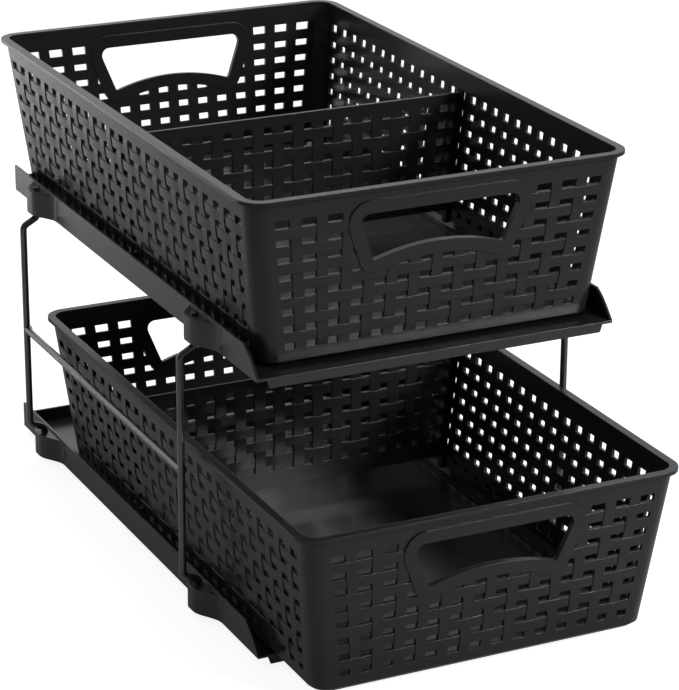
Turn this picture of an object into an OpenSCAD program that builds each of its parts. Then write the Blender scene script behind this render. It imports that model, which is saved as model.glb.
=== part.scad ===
// Two-tier pull-out cabinet basket: two baskets with woven-look walls slide on trays held by four wire posts.
// The origin is on the ground, under the middle of the box round everything; +X right, +Y to the back, +Z up.

/* [Basket] */
// width over the rim
basket_w = 239; // [210:1:280]
// depth over the rim
basket_d = 398; // [350:1:450]
// height from underside to rim
basket_h = 100; // [98:1:120]
// lean of every wall from upright, degrees
wall_lean = 6.75; // [5:0.25:8]
// wall thickness
wall_t = 2; // [1.6:0.1:3]
// floor thickness
floor_t = 2; // [1.5:0.1:4]
// outside radius of the upright corners
corner_r = 11; // [8:0.5:14]
// rim flange beyond the wall
rim_out = 3.1; // [2:0.1:5]
// rim flange thickness
rim_t = 2.2; // [1.6:0.1:4]
// bevel along the bottom edge
foot_bevel = 2.5; // [1:0.5:4]
// height of the raised step round the inside of the floor
step_h = 1.2; // [0.8:0.1:2.5]
// width of that step beyond the bevel
step_w = 3; // [2:0.5:8]

/* [Weave] */
// hole spacing along a wall
cell_w = 13.9; // [12:0.1:17]
// hole spacing down a wall
cell_h = 10.4; // [9:0.1:10.8]
// rows of holes
rows = 8; // [6:1:8]
// rim down to the middle of the first row
first_row = 15.8; // [14:0.1:17]
// first row's holes reach this much higher
first_extra = 0.9; // [0:0.1:1.5]
// width of the upright strips
strip_w = 6.9; // [5:0.1:8]
// height of the level strips
strip_h = 6.4; // [5:0.1:7.2]
// plain wall from a corner to the last column's middle
corner_land = 18; // [16:0.5:22]
// how far each over-strip arches out
arch = 0.5; // [0.4:0.1:1.4]
// flat margin left along each over-strip
plank_edge = 0.15; // [0.1:0.05:0.4]

/* [Handle] */
// width of the hand opening
grip_w = 98; // [80:1:104]
// height of the hand opening at its ends
grip_h = 28.5; // [24:0.5:31]
// rise of its lower edge in the middle
grip_rise = 6.5; // [2:0.5:9]
// rim down to the top of the opening
grip_drop = 15.6; // [13:0.1:18]
// how far each slanted end runs in
grip_slant = 8; // [2:0.5:12]
// width of the raised border
border_w = 7.8; // [5:0.1:9]
// border's face beyond the crowns of the strips
border_lift = 0.5; // [0.1:0.1:1]

/* [Divider] */
// divider thickness
divider_t = 2; // [1.6:0.1:2.6]
// rim down to the divider's top edge
divider_drop = 13; // [11:0.5:15]
// underside of the basket up to the divider's foot
divider_foot = 12; // [8:0.5:14]
// its top edge down to the middle of its first row
divider_first = 8.6; // [7.5:0.1:10]
// upper divider behind the middle of its basket
upper_divider_y = -7; // [-90:1:90]
// lower divider behind the middle of its basket
lower_divider_y = 63; // [-90:1:90]
// hole spacing along a divider
divider_cell_w = 13.3; // [12:0.1:17]
// hole spacing down a divider
divider_cell_h = 10.6; // [9:0.1:10.6]
// rows of holes in a divider
divider_rows = 6; // [4:1:6]
// width of a divider's upright strips
divider_strip = 7.5; // [5:0.1:8]
// plain end of the divider to its last column's middle
divider_land = 12; // [10:0.5:16]
// how far the guide ribs stand in from the side walls
guide_in = 2; // [1.5:0.5:5]
// guide rib thickness
guide_t = 1; // [0.8:0.1:1.6]
// rim down to the top of the guide ribs
guide_drop = 12; // [6:0.5:13]

/* [Trays] */
// play of a basket at the top of each side wall
side_play = 4.2; // [3:0.1:12]
// play behind a basket that is pushed in
back_play = 0.5; // [0.5:0.1:4]
// tray ahead of the foot of a basket that is pushed in
front_room = 12.4; // [2:0.1:30]
// tray wall thickness
tray_t = 1.5; // [1:0.1:2]
// tray wall height
tray_h = 16.5; // [14:0.5:22]
// height of the back wall
tray_back = 9.5; // [4:0.5:9.5]
// slanted run at the front of each side wall
nose_run = 17.5; // [6:0.5:25]
// front lip below the tray
lip_h = 4.6; // [2:0.1:4.6]
// lip shorter than the tray at each end
lip_in = 6.5; // [3:0.5:20]
// how far each end of the lip slants in
lip_slant = 1.5; // [0.5:0.5:3]
// upper tray above the lower one
tier = 167; // [150:0.25:200]

/* [Wire frame] */
// wire diameter
wire_d = 4.3; // [3.4:0.1:5]
// pocket beyond the tray's side wall
pocket_out = 9.2; // [8.6:0.1:12]
// flat outer face of a pocket
pocket_len = 6; // [4:0.5:16]
// run of a pocket's side that faces the front
pocket_front = 22; // [12:0.5:26]
// run of a pocket's side that faces the back
pocket_back = 15; // [12:0.5:20]
// wall of the socket tube in a pocket
socket_wall = 1.2; // [0.8:0.1:1.6]
// post's middle beyond the tray's side wall
post_out = 13.6; // [13:0.1:18]
// front post behind the tray's front edge
front_post = 75.6; // [60:0.1:110]
// back post ahead of the tray's back edge
back_post = 51.3; // [45:0.1:110]
// bend radius of the wire's middle
bend_r = 4; // [3:0.25:4.5]
// upper bend below the upper tray
upper_bend = 8.5; // [8:0.5:20]
// lower bend above the lower tray's underside
lower_bend = 22.5; // [22.5:0.5:40]
// rise of the wire across the upper bend
upper_rise = 5.5; // [4:0.5:8]
// drop of the wire across the lower bend
lower_rise = 4; // [3:0.5:4.5]
// side rail above the lower tray's underside
rail_z = 88.5; // [50:0.5:120]

/* [Feet] */
// foot height
foot_h = 5; // [5:0.1:8]
// foot diameter
foot_d = 14; // [10:1:20]
// foot's middle in from the tray's edges
foot_in = 24; // [14:1:40]

/* [Places] */
// lower basket pulled out past the upper one
pull_out = 70.8; // [0:0.1:120]
// both baskets to the right of the middle
basket_x = 1.5; // [-2:0.1:2]
// clearance where pieces seat or slide
seat = 0.3; // [0.2:0.05:0.5]

/* [Hidden] */
$fn = 48;
tan_lean = tan(wall_lean);
cos_lean = cos(wall_lean);
wall_w = basket_w - 2 * rim_out; // over the walls at rim level
wall_d = basket_d - 2 * rim_out;
end_field = wall_w / 2 - corner_land; // half width of the weave at rim level
side_field = wall_d / 2 - corner_land;
fan_cols = 3; // columns that fan out with the corner
fan_min = 11; // least spacing in the fan
cutter = 40; // length of a cutter through a wall
$pitch = cell_w; // the weave being made: hole spacing along it
$step = cell_h; // and down it
$rows = rows;
$top_row = first_row; // rim down to its first row
$strip = strip_w; // width of its upright strips
sink = 0.5; // how far a raised piece is let into its wall
slice = 0.01; // thickness of the plates a tub is hulled from
grip_r = 5; // rounding of the opening's upper corners
grip_foot_r = 1.6; // and of its lower corners
grip_flat = 1; // half of the flat at the crown of its lower edge, degrees
divider_half = wall_w / 2 - wall_t - seat; // half width of the divider at rim level
slot = divider_t + 2 * seat; // between the guide ribs
basket_z = tray_t + seat; // basket above its tray's underside
// reach of a basket's walls at the top of the tray's side walls and of its back wall
side_reach = wall_w / 2 - (basket_h + basket_z - tray_h) * tan_lean;
end_reach = wall_d / 2 - (basket_h + basket_z - tray_back) * tan_lean;
tray_w = 2 * (side_reach + side_play + tray_t);
tray_d = 2 * end_reach + back_play + tray_t + front_room;
lower_z = foot_h; // undersides of the trays
upper_z = foot_h + tier;
upper_y = pull_out / 2; // middles of the baskets
lower_y = upper_y - pull_out;
tray_y = upper_y + (back_play + tray_t - front_room) / 2;
front_post_y = tray_y - tray_d / 2 + front_post;
back_post_y = tray_y + tray_d / 2 - back_post;
ledge_drop = 1; // top of a pocket below the wall's top
socket_r = wire_d / 2 + seat;
socket_x = tray_w / 2 + (pocket_out - tray_t) / 2;
post_x = tray_w / 2 + post_out;
rail_gap = 0.1; // between a side rail's ends and the posts they are welded to
bend_lap = 1.5; // how far a bend laps over its straights, degrees
bend_swell = 0.04; // and how much thicker it is, so that it takes them in
tip_up = 1.2; // wire's end above a pocket, and above the lower tray's underside
plastic = [0.13, 0.13, 0.14];
coated = [0.2, 0.2, 0.22];
steel = [0.3, 0.3, 0.32];
rubber = [0.45, 0.45, 0.45];

// ---- weave: columns count from the middle in halves, rows from the rim ----

// evenly spaced columns on one side of the middle
function even_cols(field) =
  floor((field - row_mid($rows - 1) * tan_lean - fan_cols * fan_min) / $pitch + 0.5) - 0.5;

// last column, with the fan beside the corner
function last_col(field) = even_cols(field) + fan_cols;

// sideways place of column i at this drop below the rim
function across(i, field, drop) =
  let (even = even_cols(field), fan = (field - drop * tan_lean - even * $pitch) / fan_cols)
  sign(i) * (min(abs(i), even) * $pitch + max(abs(i) - even, 0) * fan);

function row_mid(r) = $top_row + r * $step;

// one hole's corner at column side c, this drop below the rim; side is -1 or 1
function hole_point(i, side, field, drop) =
  [across(i + side / 2, field, drop) - side * $strip / 2, -drop / cos_lean];

module holes(field, extra = 0) {
  n = last_col(field);
  for (r = [0:$rows - 1], i = [-n:n]) {
    high = row_mid(r) - ($step - strip_h) / 2 - (r == 0 ? extra : 0);
    low = row_mid(r) + ($step - strip_h) / 2;
    polygon([
      hole_point(i, -1, field, high), hole_point(i, 1, field, high),
      hole_point(i, 1, field, low), hole_point(i, -1, field, low)
    ]);
  }
}

// an over-strip: a bar along x with a shallow arc for its face, let into the wall
module plank(len, width) {
  rad = (len * len / 4 + arch * arch) / (2 * arch);
  rotate([90, 0, 0]) linear_extrude(width - 2 * plank_edge, center = true) intersection() {
    translate([0, arch - rad]) circle(rad, $fn = 180);
    translate([-len / 2 - 1, -sink]) square([len + 2, sink + 2 * arch]);
  }
}

// the over-strips of a plain weave: level and upright ones take turns at the crossings
module planks(field) {
  n = last_col(field);
  for (s = [1:$rows - 1], i = [0.5 - n:n - 0.5]) {
    drop = row_mid(s) - $step / 2;
    mid = across(i, field, drop);
    if ((s + i + n + 0.5) % 2 == 0) {
      from = across(max(i - 1, -n - 0.5), field, drop) + $strip / 2;
      to = across(min(i + 1, n + 0.5), field, drop) - $strip / 2;
      translate([(from + to) / 2, -drop / cos_lean]) plank(to - from, strip_h);
    } else {
      fan = (across(i, field, drop - $step) - across(i, field, drop + $step)) / (2 * $step);
      translate([mid, -drop / cos_lean]) rotate([0, 0, 90 - atan(fan)])
        plank((2 * $step - strip_h) / cos_lean, $strip);
    }
  }
}

// local frame of a wall: x along it, y up its slope with 0 at the rim, z out of it
module on_wall(turn, half) {
  rotate([0, 0, turn]) translate([0, -half, basket_h]) rotate([90 + wall_lean, 0, 0]) children();
}

module on_ends() {
  for (turn = [0, 180]) on_wall(turn, wall_d / 2) children();
}

module on_sides() {
  for (turn = [90, 270]) on_wall(turn, wall_w / 2) children();
}

// ---- handle: outline of the hand opening, grown outwards for its border ----

function arc(x, y, r, from, to, steps = 6) =
  [for (k = [0:steps]) let (a = from + (to - from) * k / steps) [x + r * cos(a), y + r * sin(a)]];

function flip(pts) = [for (k = [len(pts) - 1:-1:0]) [-pts[k][0], pts[k][1]]];

function grip_outline(grow) =
  let (
    top = -grip_drop - grip_r,
    foot = -grip_drop - grip_h + grip_foot_r,
    half = grip_w / 2 - grip_r,
    reach = grip_w / 2 - grip_slant - grip_foot_r,
    slant = atan(grip_slant / (grip_h - grip_r)),
    big = (reach * reach + grip_rise * grip_rise) / (2 * grip_rise),
    tilt = asin(reach / big),
    left = concat(
      arc(-half, top, grip_r + grow, 90, 180 + slant),
      arc(-reach, foot, grip_foot_r + grow, 180 + slant, 270 + tilt),
      arc(0, foot - big * cos(tilt), big - grip_foot_r - grow, 90 + tilt - 2 * grip_flat, 90 + grip_flat)
    )
  )
  concat(left, flip(left));

module grip_prism(grow, from, to) {
  translate([0, 0, from]) linear_extrude(to - from) polygon(grip_outline(grow));
}

// ---- basket ----

// rounded rectangle standing on z
module plate(w, d, r, z, t) {
  translate([0, 0, z]) linear_extrude(t) {
    square([w - 2 * r, d], center = true);
    square([w, d - 2 * r], center = true);
    for (x = [-1, 1], y = [-1, 1]) translate([x * (w / 2 - r), y * (d / 2 - r)]) circle(r);
  }
}

// tapered tub from z0 to the rim, with this much bevel at its foot
module tub(inset, z0, bevel) {
  w = wall_w - 2 * inset;
  d = wall_d - 2 * inset;
  r = corner_r - inset;
  low = 2 * (basket_h - z0 - bevel) * tan_lean;
  foot = 2 * (basket_h - z0) * tan_lean + 2 * bevel;
  hull() {
    plate(w, d, r, basket_h - slice, slice);
    plate(w - low, d - low, r, z0 + bevel, slice);
    plate(w - foot, d - foot, r - bevel / 2, z0, slice);
  }
}

// on each side wall a rib ahead of the divider, one behind it and a ledge between them that carries it
module guide_ribs(at) {
  deep = wall_t * cos_lean + guide_in;
  ledge = divider_foot - seat - deep * sin(wall_lean);
  for (side = [-1, 1]) on_wall(side * 90, wall_w / 2)
    translate([side * at, -(basket_h - floor_t) / cos_lean, -deep]) {
      for (edge = [-1, 1]) translate([edge * (slot + guide_t) / 2 - guide_t / 2, 0, 0])
        cube([guide_t, (basket_h - floor_t - guide_drop) / cos_lean, guide_in + sink]);
      translate([-(slot + guide_t) / 2, 0, 0])
        cube([slot + guide_t, (ledge - floor_t) / cos_lean, guide_in + sink]);
    }
}

module basket(divider_at) {
  border_top = arch + border_lift;
  step_drop = 2 * (basket_h - floor_t) * tan_lean + 2 * foot_bevel + 2 * step_w;
  difference() {
    union() {
      difference() {
        union() {
          tub(0, 0, foot_bevel);
          plate(basket_w, basket_d, corner_r + rim_out, basket_h - rim_t, rim_t);
          on_ends() planks(end_field);
          on_sides() planks(side_field);
        }
        tub(wall_t, floor_t + step_h, foot_bevel);
        plate(
          wall_w - 2 * wall_t - step_drop, wall_d - 2 * wall_t - step_drop,
          corner_r / 2, floor_t, 2 * step_h
        );
        on_ends() translate([0, 0, -cutter / 2]) linear_extrude(cutter) holes(end_field, first_extra);
        on_sides() translate([0, 0, -cutter / 2]) linear_extrude(cutter) holes(side_field, first_extra);
        on_ends() grip_prism(border_w - sink, -cutter / 2, cutter / 2);
      }
      on_ends() grip_prism(border_w, -wall_t - 0.4, border_top);
      guide_ribs(divider_at);
    }
    on_ends() grip_prism(0, -cutter / 2, cutter / 2);
  }
}

// ---- divider: stands on the ledges between the guide ribs, its ends lean with the side walls ----

module divider(at) {
  $pitch = divider_cell_w;
  $step = divider_cell_h;
  $rows = divider_rows;
  $top_row = divider_drop + divider_first;
  $strip = divider_strip;
  field = divider_half - divider_land;
  high = divider_half - divider_drop * tan_lean;
  low = divider_half - (basket_h - divider_foot) * tan_lean;
  translate([0, at, 0]) difference() {
    union() {
      rotate([90, 0, 0]) linear_extrude(divider_t, center = true) polygon([
        [-low, divider_foot], [low, divider_foot],
        [high, basket_h - divider_drop], [-high, basket_h - divider_drop]
      ]);
      for (turn = [0, 180]) rotate([0, 0, turn])
        translate([0, -divider_t / 2, basket_h]) rotate([90, 0, 0]) planks(field);
    }
    translate([0, 0, basket_h]) rotate([90, 0, 0]) linear_extrude(cutter, center = true) holes(field);
  }
}

// ---- tray ----

// plan of a pocket from the wall's face, its sides easing in and out; y runs to the back
function ease(out, run, y0, turn, steps = 8) =
  [for (k = [0:steps]) let (t = k / steps) [out * (1 + turn * cos(180 * t)) / 2, y0 + run * t]];

function pocket_plan(inset) =
  concat(
    ease(pocket_out - inset, pocket_front - inset, -pocket_len / 2 - pocket_front + 1.5 * inset, -1),
    ease(pocket_out - inset, pocket_back - inset, pocket_len / 2 - inset / 2, 1)
  );

module pocket() {
  top = tray_h - ledge_drop;
  reach = (pocket_out - tray_t) / 2;
  difference() {
    union() {
      difference() {
        linear_extrude(top) polygon(concat([[-sink, 0]], pocket_plan(0), [[-sink, 0]]));
        translate([0, 0, -1]) linear_extrude(top - tray_t + 1) polygon(pocket_plan(tray_t));
      }
      translate([reach, 0, tip_up * 4])
        cylinder(r = socket_r + socket_wall, h = top - tip_up * 4 - tray_t / 2);
    }
    translate([reach, 0, -1]) cylinder(r = socket_r, h = top + 2);
  }
}

// front end of a side wall, rising steeply and then easing to its top
function nose(front, steps = 7) =
  [for (k = [0:steps]) let (t = k / steps)
    [front + nose_run * t, tray_t + (tray_h - tray_t) * (t + sin(90 * t)) / 2]];

module tray() {
  front = -tray_d / 2;
  lip_half = tray_w / 2 - lip_in;
  translate([-tray_w / 2, front, 0]) cube([tray_w, tray_d, tray_t]);
  translate([0, front + tray_t, 0]) rotate([90, 0, 0]) linear_extrude(tray_t) polygon([
    [-lip_half, tray_t / 2], [-lip_half, 0], [-lip_half + lip_slant, -lip_h],
    [lip_half - lip_slant, -lip_h], [lip_half, 0], [lip_half, tray_t / 2]
  ]);
  translate([-tray_w / 2, -front - tray_t, 0]) cube([tray_w, tray_t, tray_back]);
  for (side = [-1, 1]) {
    translate([side * (tray_w - tray_t) / 2 - tray_t / 2, 0, 0])
      rotate([90, 0, 90]) linear_extrude(tray_t)
        polygon(concat([[front, 0]], nose(front), [[-front, tray_h], [-front, 0]]));
    for (y = [front + front_post, -front - back_post])
      translate([side * tray_w / 2, y, 0]) mirror([side < 0 ? 1 : 0, 0, 0]) pocket();
  }
}

// ---- wire: straight lengths and true bends through corner points in the XZ plane ----

function heading(p, q) = atan2(q[1] - p[1], q[0] - p[0]);

// length of a corner's bend along the straight beside it
function bend_run(pts, k) =
  k == 0 || k == len(pts) - 1 ? 0
    : bend_r * tan(abs(heading(pts[k], pts[k + 1]) - heading(pts[k - 1], pts[k])) / 2);

module wire(pts) {
  rotate([90, 0, 0]) {
    for (k = [0:len(pts) - 2]) {
      a = heading(pts[k], pts[k + 1]);
      translate([pts[k][0] + bend_run(pts, k) * cos(a), pts[k][1] + bend_run(pts, k) * sin(a)])
        rotate([0, 90, a]) cylinder(
          d = wire_d, h = norm(pts[k + 1] - pts[k]) - bend_run(pts, k) - bend_run(pts, k + 1));
    }
    for (k = [1:len(pts) - 2]) {
      a = heading(pts[k - 1], pts[k]);
      turn = heading(pts[k], pts[k + 1]) - a;
      side = sign(turn);
      translate([
        pts[k][0] - bend_run(pts, k) * cos(a) - side * bend_r * sin(a),
        pts[k][1] - bend_run(pts, k) * sin(a) + side * bend_r * cos(a)
      ]) rotate([0, 0, (side > 0 ? a - 90 : a + 90 + turn) - bend_lap])
        rotate_extrude(angle = abs(turn) + 2 * bend_lap)
          translate([bend_r, 0]) circle(d = wire_d + bend_swell);
    }
  }
}

module post() {
  wire([
    [socket_x, lower_z + tip_up], [socket_x, lower_z + lower_bend - lower_rise],
    [post_x, lower_z + lower_bend], [post_x, upper_z - upper_bend],
    [socket_x, upper_z - upper_bend + upper_rise], [socket_x, upper_z + tray_h - ledge_drop + tip_up]
  ]);
}

// side rail between the two posts of a side
module rail() {
  from = front_post_y + wire_d / 2 + rail_gap;
  translate([post_x, from, lower_z + rail_z])
    rotate([-90, 0, 0]) cylinder(d = wire_d, h = back_post_y - wire_d / 2 - rail_gap - from);
}

// ---- sub-parts ----

module at_upper() translate([basket_x, upper_y, upper_z + basket_z]) children();
module at_lower() translate([basket_x, lower_y, lower_z + basket_z]) children();

module upper_basket() color(plastic) at_upper() basket(upper_divider_y);
module lower_basket() color(plastic) at_lower() basket(lower_divider_y);
module upper_divider() color(plastic) at_upper() divider(upper_divider_y);
module lower_divider() color(plastic) at_lower() divider(lower_divider_y);
module upper_tray() color(coated) translate([0, tray_y, upper_z]) tray();
module lower_tray() color(coated) translate([0, tray_y, lower_z]) tray();
module right_front_post() color(steel) translate([0, front_post_y, 0]) post();
module right_back_post() color(steel) translate([0, back_post_y, 0]) post();
module left_front_post() mirror([1, 0, 0]) right_front_post();
module left_back_post() mirror([1, 0, 0]) right_back_post();
module right_rail() color(steel) rail();
module left_rail() mirror([1, 0, 0]) right_rail();
module feet() color(rubber) for (x = [-1, 1], y = [-1, 1])
  translate([x * (tray_w / 2 - foot_in), tray_y + y * (tray_d / 2 - foot_in), 0])
    cylinder(d = foot_d, h = foot_h);

upper_basket();
lower_basket();
upper_divider();
lower_divider();
upper_tray();
lower_tray();
left_front_post();
left_back_post();
right_front_post();
right_back_post();
left_rail();
right_rail();
feet();
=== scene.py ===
import math
import bpy
import bmesh
from mathutils import Matrix, Vector


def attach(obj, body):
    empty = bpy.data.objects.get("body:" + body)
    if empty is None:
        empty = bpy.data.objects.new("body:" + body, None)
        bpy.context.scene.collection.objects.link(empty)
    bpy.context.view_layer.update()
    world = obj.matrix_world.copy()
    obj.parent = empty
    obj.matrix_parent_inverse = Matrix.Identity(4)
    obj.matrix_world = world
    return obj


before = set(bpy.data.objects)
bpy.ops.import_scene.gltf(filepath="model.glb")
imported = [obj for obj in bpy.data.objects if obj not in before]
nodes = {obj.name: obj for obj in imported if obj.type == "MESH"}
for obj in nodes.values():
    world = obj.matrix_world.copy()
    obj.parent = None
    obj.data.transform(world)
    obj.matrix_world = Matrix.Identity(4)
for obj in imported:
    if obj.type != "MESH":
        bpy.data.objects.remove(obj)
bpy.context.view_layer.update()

print("frame loaded with", len(nodes), "nodes")


# a Link is one output in a node tree; sums and products of Links add Math nodes
class Link:
    def __init__(self, finish, socket):
        self.finish = finish
        self.socket = socket

    def math(self, operation, first, second):
        return self.finish.add("ShaderNodeMath", {"operation": operation}, {0: first, 1: second})

    def __add__(self, other):
        return self.math("ADD", self, other)

    def __radd__(self, other):
        return self.math("ADD", other, self)

    def __sub__(self, other):
        return self.math("SUBTRACT", self, other)

    def __rsub__(self, other):
        return self.math("SUBTRACT", other, self)

    def __mul__(self, other):
        return self.math("MULTIPLY", self, other)

    def __rmul__(self, other):
        return self.math("MULTIPLY", other, self)


# the node tree of one material, or of the world
class Finish:
    def __init__(self, owner):
        owner.use_nodes = True
        self.owner = owner
        self.tree = owner.node_tree
        self.tree.nodes.clear()

    def add(self, kind, settings=None, values=None, output=0):
        made = self.tree.nodes.new(kind)
        for key, value in (settings or {}).items():
            if key == "stops":
                for element, (place, shade) in zip(made.color_ramp.elements, value):
                    element.position = place
                    element.color = (shade, shade, shade, 1)
            else:
                setattr(made, key, value)
        for key, value in (values or {}).items():
            if isinstance(value, Link):
                self.tree.links.new(value.socket, made.inputs[key])
            else:
                made.inputs[key].default_value = value
        return Link(self, made.outputs[output])

    def noise(self, scale, detail, rough, stretch=(1, 1, 1)):
        place = self.add("ShaderNodeTexCoord", output="Object")
        stretched = self.add("ShaderNodeMapping", values={"Vector": place, "Scale": stretch})
        return self.add("ShaderNodeTexNoise", values={
            "Vector": stretched, "Scale": scale, "Detail": detail, "Roughness": rough})

    # two stops, each a place and a shade
    def ramp(self, value, stops):
        return self.add("ShaderNodeValToRGB", {"stops": stops}, {"Fac": value})

    # the colour sockets of a Mix node are its inputs 6 and 7 and its output 2
    def blend(self, share, first, second):
        first, second = (shade if isinstance(shade, Link) else (*shade, 1) for shade in (first, second))
        return self.add("ShaderNodeMix", {"data_type": "RGBA"}, {"Factor": share, 6: first, 7: second}, 2)

    def finishWith(self, surface, ending="ShaderNodeOutputMaterial"):
        end = self.tree.nodes.new(ending)
        self.tree.links.new(surface.socket, end.inputs["Surface"])
        return self.owner


# moulded plastic, coated wire and rubber share one build, each with settings of its own
def blackFinish(name, look):
    f = Finish(bpy.data.materials.new(name))
    grain = f.noise(look["grainScale"], detail=3, rough=0.6)
    waves = f.noise(look["waveScale"], detail=2, rough=0.5)
    smudge = f.ramp(f.noise(look["smudgeScale"], detail=5, rough=0.62), look["smudgeStops"])
    lines = f.noise(look["streakScale"], detail=4, rough=0.55, stretch=look["streakStretch"])
    streak = f.ramp(lines, look["streakStops"])
    # dust lies on upward faces, in patches
    normal = f.add("ShaderNodeNewGeometry", output="Normal")
    upward = f.add("ShaderNodeSeparateXYZ", values={"Vector": normal}, output="Z")
    patches = f.ramp(f.noise(look["dustScale"], detail=6, rough=0.7), look["dustStops"])
    dust = f.ramp(upward, look["upwardStops"]) * patches
    # narrow places get painted shade in their colour, and are also duller
    openness = f.add("ShaderNodeAmbientOcclusion", {"samples": look["samples"]},
                     {"Distance": look["shelterReach"]}, "AO")
    recessShadeAndDull = 1 - openness
    base = f.blend(smudge * look["tintShare"], look["colour"], look["tint"])
    base = f.blend(dust * look["dustShare"], base, look["dustColour"])
    # painted shade: the colour is darkened towards a near-black where the occlusion mask finds close walls
    base = f.blend(recessShadeAndDull * look["paintedShadeShare"], base, look["paintedShadeColour"])
    roughness = (look["roughness"] + (grain - 0.5) * look["roughGrain"]
                 + smudge * look["roughSmudge"] + streak * look["roughStreak"]
                 + dust * look["roughDust"] + recessShadeAndDull * look["shelterRough"])
    height = grain * look["grainDepth"] + waves * look["waveDepth"]
    rounded = f.add("ShaderNodeBevel", {"samples": look["samples"]}, {"Radius": look["edge"]})
    bump = f.add("ShaderNodeBump", values={
        "Height": height, "Strength": 1.0, "Distance": 1.0, "Normal": rounded})
    surface = f.add("ShaderNodeBsdfPrincipled", values={
        "Base Color": base, "Roughness": roughness, "IOR": look["ior"], "Normal": bump,
        "Coat Weight": look["coat"], "Coat Roughness": look["coatRoughness"]})
    return f.finishWith(surface)


basketLook = {
    "colour": (0.024, 0.024, 0.0243), "tint": (0.03, 0.03, 0.03), "tintShare": 0.5,
    "roughness": 0.21, "roughGrain": 0.08, "roughSmudge": 0.03, "roughStreak": 0.02, "roughDust": 0.04,
    "ior": 1.5, "coat": 0.0, "coatRoughness": 0.1,
    "grainScale": 1500, "grainDepth": 0.000012, "waveScale": 45, "waveDepth": 0.00006,
    "smudgeScale": 16, "smudgeStops": ((0.35, 0), (0.72, 1)),
    "streakScale": 90, "streakStops": ((0.5, 0), (0.8, 1)), "streakStretch": (0.2, 1, 1),
    "dustScale": 60, "dustStops": ((0.42, 0), (0.75, 1)), "upwardStops": ((0.55, 0), (1, 1)),
    "dustColour": (0.03, 0.029, 0.028), "dustShare": 0.05,
    # painted shade in recesses: how far the mask reaches, how strongly and how dark it paints the colour,
    # and how much rougher it makes them
    "shelterReach": 0.008, "paintedShadeShare": 1.0, "shelterRough": 0.2, "paintedShadeColour": (0.004, 0.004, 0.004),
    "edge": 0.0005, "samples": 4}
trayLook = dict(
    basketLook, roughness=0.18, roughGrain=0.05, roughSmudge=0.08, ior=1.75,
    grainDepth=0.000006, waveScale=30, waveDepth=0.00009, streakStretch=(1, 0.1, 1))
wireLook = dict(
    basketLook, roughness=0.08, roughGrain=0.03, ior=1.9, coat=1.0, coatRoughness=0.06,
    grainScale=900, grainDepth=0.000004, waveScale=260, waveDepth=0.00002)
footLook = dict(
    basketLook, colour=(0.02, 0.02, 0.02), roughness=0.75, roughGrain=0.15)

finishes = {
    "basket": blackFinish("basketPlastic", basketLook),
    "tray": blackFinish("trayPlastic", trayLook),
    "wire": blackFinish("coatedWire", wireLook),
    "foot": blackFinish("footRubber", footLook)}


def finishOf(name):
    if "basket" in name or "divider" in name:
        return finishes["basket"]
    if "tray" in name:
        return finishes["tray"]
    return finishes["foot"] if name == "feet" else finishes["wire"]


for name, thing in nodes.items():
    thing.data.materials.clear()
    thing.data.materials.append(finishOf(name))
print("finishes laid on the frame")


# one ring of points around a centre; ripple makes its outline uneven
def ring(centre, across, up, radius, sides, ripple=0.0, waves=0, twist=0):
    points = []
    for k in range(sides):
        turn = 2 * math.pi * k / sides
        reach = radius * (1 + ripple * math.sin(waves * turn + twist * centre.y))
        points.append(centre + across * (reach * math.cos(turn)) + up * (reach * math.sin(turn)))
    return points


# a closed piece over rings of equally many points
def skin(name, rings, body, material):
    sides = len(rings[0])
    verts = [point for each in rings for point in each]
    faces = []
    for row in range(len(rings) - 1):
        low = row * sides
        high = low + sides
        for k in range(sides):
            after = (k + 1) % sides
            faces.append((low + k, low + after, high + after, high + k))
    faces.append(tuple(reversed(range(sides))))
    faces.append(tuple((len(rings) - 1) * sides + k for k in range(sides)))
    mesh = bpy.data.meshes.new(name)
    mesh.from_pydata(verts, [], faces)
    mesh.shade_smooth()
    shape = bmesh.new()
    shape.from_mesh(mesh)
    bmesh.ops.recalc_face_normals(shape, faces=shape.faces)
    shape.to_mesh(mesh)
    shape.free()
    piece = bpy.data.objects.new(name, mesh)
    bpy.context.scene.collection.objects.link(piece)
    mesh.materials.append(material)
    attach(piece, body)


def corners(name):
    thing = nodes[name]
    return [thing.matrix_world @ v.co for v in thing.data.vertices]


def span(name, axis):
    values = [point[axis] for point in corners(name)]
    return min(values), max(values)


# a rail's end swells into a weld bead where it meets its post
weldLook = {
    "reach": 0.0042, "into": 0.9,  # along the rail in metres, and into the post in rail radii
    "waist": 1.02, "swell": 1.34, "growth": 2.2,
    "ripple": 0.025, "waves": 5, "twist": 40, "rings": 9, "sides": 20}


def weldBead(name, rail, outside, end):
    (x0, x1), (y0, y1), (z0, z1) = (span(rail, axis) for axis in range(3))
    radius = (z1 - z0) / 2
    start = y0 if end < 0 else y1
    rings = []
    for k in range(weldLook["rings"]):
        share = k / (weldLook["rings"] - 1)
        grow = weldLook["waist"] + (weldLook["swell"] - weldLook["waist"]) * share ** weldLook["growth"]
        along = start - end * weldLook["reach"] * (1 - share) + end * radius * share * weldLook["into"]
        # the bead grows inward only, so that it stays inside the stand's width
        inward = (grow * (1 + weldLook["ripple"]) - 1) * radius * -outside
        centre = Vector(((x0 + x1) / 2 + inward, along, (z0 + z1) / 2))
        rings.append(ring(centre, Vector((1, 0, 0)), Vector((0, 0, 1)), radius * grow, weldLook["sides"],
                          weldLook["ripple"], weldLook["waves"], weldLook["twist"]))
    skin(name, rings, "stand", finishes["wire"])


# a blunt pin stub low on a basket's side wall, in line with its divider
pipLook = {
    "radius": 0.0022, "proud": 0.0014, "sunk": 0.0036, "blunt": 0.4,
    "up": 0.0129, "lean": 0.118,  # above the basket's base, and the wall's run per rise
    "band": 0.0094, "bandReach": 0.006, "probe": 0.02,  # the plain band below the holes
    "rings": 8, "sides": 24}


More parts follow.
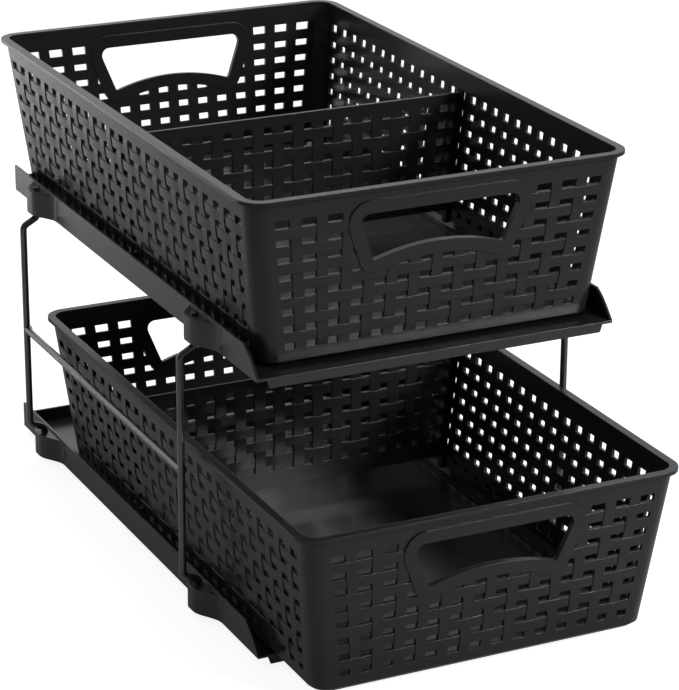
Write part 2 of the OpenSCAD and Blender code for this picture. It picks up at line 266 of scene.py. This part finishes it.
# a ray from outside finds the wall's face in the band
def wallAt(basket, side, along, low):
    thing = nodes[basket]
    height = low + pipLook["band"]
    near = [point for point in corners(basket) if abs(point.z - height) < pipLook["bandReach"]]
    edge = max(side * point.x for point in near) * side
    back = thing.matrix_world.inverted()
    start = back @ Vector((edge + side * pipLook["probe"], along, height))
    toward = (back.to_3x3() @ Vector((-side, 0, 0))).normalized()
    hit, place = thing.ray_cast(start, toward)[:2]
    return thing.matrix_world @ place if hit else Vector((edge, along, height))


def pinStub(name, tier, side):
    basket = tier + "_basket"
    low = span(basket, 2)[0]
    along = sum(span(tier + "_divider", 1)) / 2
    outward = Vector((side, 0, -pipLook["lean"])).normalized()
    rise = Vector((side * pipLook["lean"], 0, 1)).normalized()
    foot = wallAt(basket, side, along, low) + rise * (pipLook["up"] - pipLook["band"])
    rings = []
    for k in range(pipLook["rings"]):
        turn = math.pi / 2 * k / (pipLook["rings"] - 0.5)  # ends in a small flat tip
        out = -pipLook["sunk"] + (pipLook["proud"] + pipLook["sunk"]) * math.sin(turn)
        radius = pipLook["radius"] * math.cos(turn) ** pipLook["blunt"]
        rings.append(ring(foot + outward * out, Vector((0, 1, 0)), rise, radius, pipLook["sides"]))
    skin(name, rings, tier + "_basket_body", finishes["basket"])


for side, outside in (("left", -1), ("right", 1)):
    weldBead(side + "WeldFront", side + "_rail", outside, -1)
    weldBead(side + "WeldBack", side + "_rail", outside, 1)
print("weld beads set at the rails' ends")
for tier in ("upper", "lower"):
    pinStub(tier + "PipLeft", tier, -1)
    pinStub(tier + "PipRight", tier, 1)
print("pin stubs set on the baskets")

stageLook = {
    "floorSize": 12, "floorColour": (0.5, 0.5, 0.5), "lift": 0.9, "glossyShare": 0.08,
    "worldFront": 0.1, "worldBack": 0.85, "frontEdge": 0.25, "backEdge": 0.95}


# to the camera the floor is lifted to white and still takes the shadow; reflections get a small share
def whiteFloor():
    f = Finish(bpy.data.materials.new("paleFloor"))
    camera = f.add("ShaderNodeLightPath", output="Is Camera Ray")
    glossy = f.add("ShaderNodeLightPath", output="Is Glossy Ray")
    through = f.add("ShaderNodeLightPath", output="Is Transmission Ray")
    ray = camera + glossy * stageLook["glossyShare"] + through
    plain = f.add("ShaderNodeBsdfDiffuse", values={"Color": (*stageLook["floorColour"], 1)})
    glow = f.add("ShaderNodeEmission", values={"Color": (1, 1, 1, 1), "Strength": stageLook["lift"]})
    lifted = f.add("ShaderNodeAddShader", values={0: plain, 1: glow})
    return f.finishWith(f.add("ShaderNodeMixShader", values={0: ray, 1: plain, 2: lifted}))


def layFloor():
    half = stageLook["floorSize"] / 2
    verts = [(-half, -half, 0), (half, -half, 0), (half, half, 0), (-half, half, 0)]
    mesh = bpy.data.meshes.new("floor")
    mesh.from_pydata(verts, [], [(0, 1, 2, 3)])
    floor = bpy.data.objects.new("floor", mesh)
    bpy.context.scene.collection.objects.link(floor)
    mesh.materials.append(whiteFloor())


# brighter towards the back, as with a wide soft light behind the object
def lightWorld():
    f = Finish(bpy.data.worlds.new("studio"))
    around = f.add("ShaderNodeTexCoord", output="Generated")
    toBack = f.add("ShaderNodeSeparateXYZ", values={"Vector": around}, output="Y")
    strength = f.add("ShaderNodeMapRange", values={
        "Value": toBack, "From Min": stageLook["frontEdge"], "From Max": stageLook["backEdge"],
        "To Min": stageLook["worldFront"], "To Max": stageLook["worldBack"]})
    light = f.add("ShaderNodeBackground", values={"Color": (1, 1, 1, 1), "Strength": strength})
    bpy.context.scene.world = f.finishWith(light, "ShaderNodeOutputWorld")


# round lamps: at and to in metres, spread in degrees
lamps = {
    "backPool": {
        "at": (-0.55, 1.35, 0.8), "to": (-0.5, 1.12, 0), "size": 0.4, "power": 4.6, "spread": 68},
    "topSoft": {
        "at": (0.3, 0.4, 2.0), "to": (0.1, 0, 0.15), "size": 1.0, "power": 3, "spread": 90},
    "frontSoft": {
        "at": (1.25, -1.9, 1.15), "to": (0.24, -0.22, 0.1), "size": 0.8, "power": 1.1, "spread": 24}}


def hangLamps():
    for name, lamp in lamps.items():
        data = bpy.data.lights.new(name, "AREA")
        data.shape = "DISK"
        data.size = lamp["size"]
        data.energy = lamp["power"]
        data.spread = math.radians(lamp["spread"])
        toward = Vector(lamp["to"]) - Vector(lamp["at"])
        thing = bpy.data.objects.new(name, data)
        thing.location = lamp["at"]
        thing.rotation_euler = toward.to_track_quat("-Z", "Y").to_euler()
        bpy.context.scene.collection.objects.link(thing)


# angles in degrees; focal length, middle and image in pixels
cameraLook = {
    "at": (-0.6995, -1.4721, 0.7349), "azimuth": 25.98, "elevation": 20.66, "roll": 0.33,
    "focalPixels": 2843, "middle": (341.3, 346.0), "image": (679, 690), "sensor": 36}


def setCamera():
    scene = bpy.context.scene
    data = bpy.data.cameras.new("camera")
    wide, high = cameraLook["image"]
    data.sensor_width = cameraLook["sensor"]
    data.lens = cameraLook["focalPixels"] * data.sensor_width / high
    data.shift_x = (wide / 2 - cameraLook["middle"][0]) / high
    data.shift_y = (cameraLook["middle"][1] - high / 2) / high
    azimuth, elevation, roll = (math.radians(cameraLook[key]) for key in ("azimuth", "elevation", "roll"))
    level = Vector((math.sin(azimuth), math.cos(azimuth), 0))
    ahead = level * math.cos(elevation) - Vector((0, 0, math.sin(elevation)))
    right = Vector((math.cos(azimuth), -math.sin(azimuth), 0))
    up = right.cross(ahead)
    rolledRight = right * math.cos(roll) + up * math.sin(roll)
    rolledUp = up * math.cos(roll) - right * math.sin(roll)
    turn = Matrix((rolledRight, rolledUp, -ahead)).transposed()
    camera = bpy.data.objects.new("camera", data)
    camera.matrix_world = Matrix.Translation(cameraLook["at"]) @ turn.to_4x4()
    scene.collection.objects.link(camera)
    scene.camera = camera
    scene.view_settings.view_transform = "Standard"


layFloor()
lightWorld()
hangLamps()
setCamera()
print("stage, lamps and camera set")
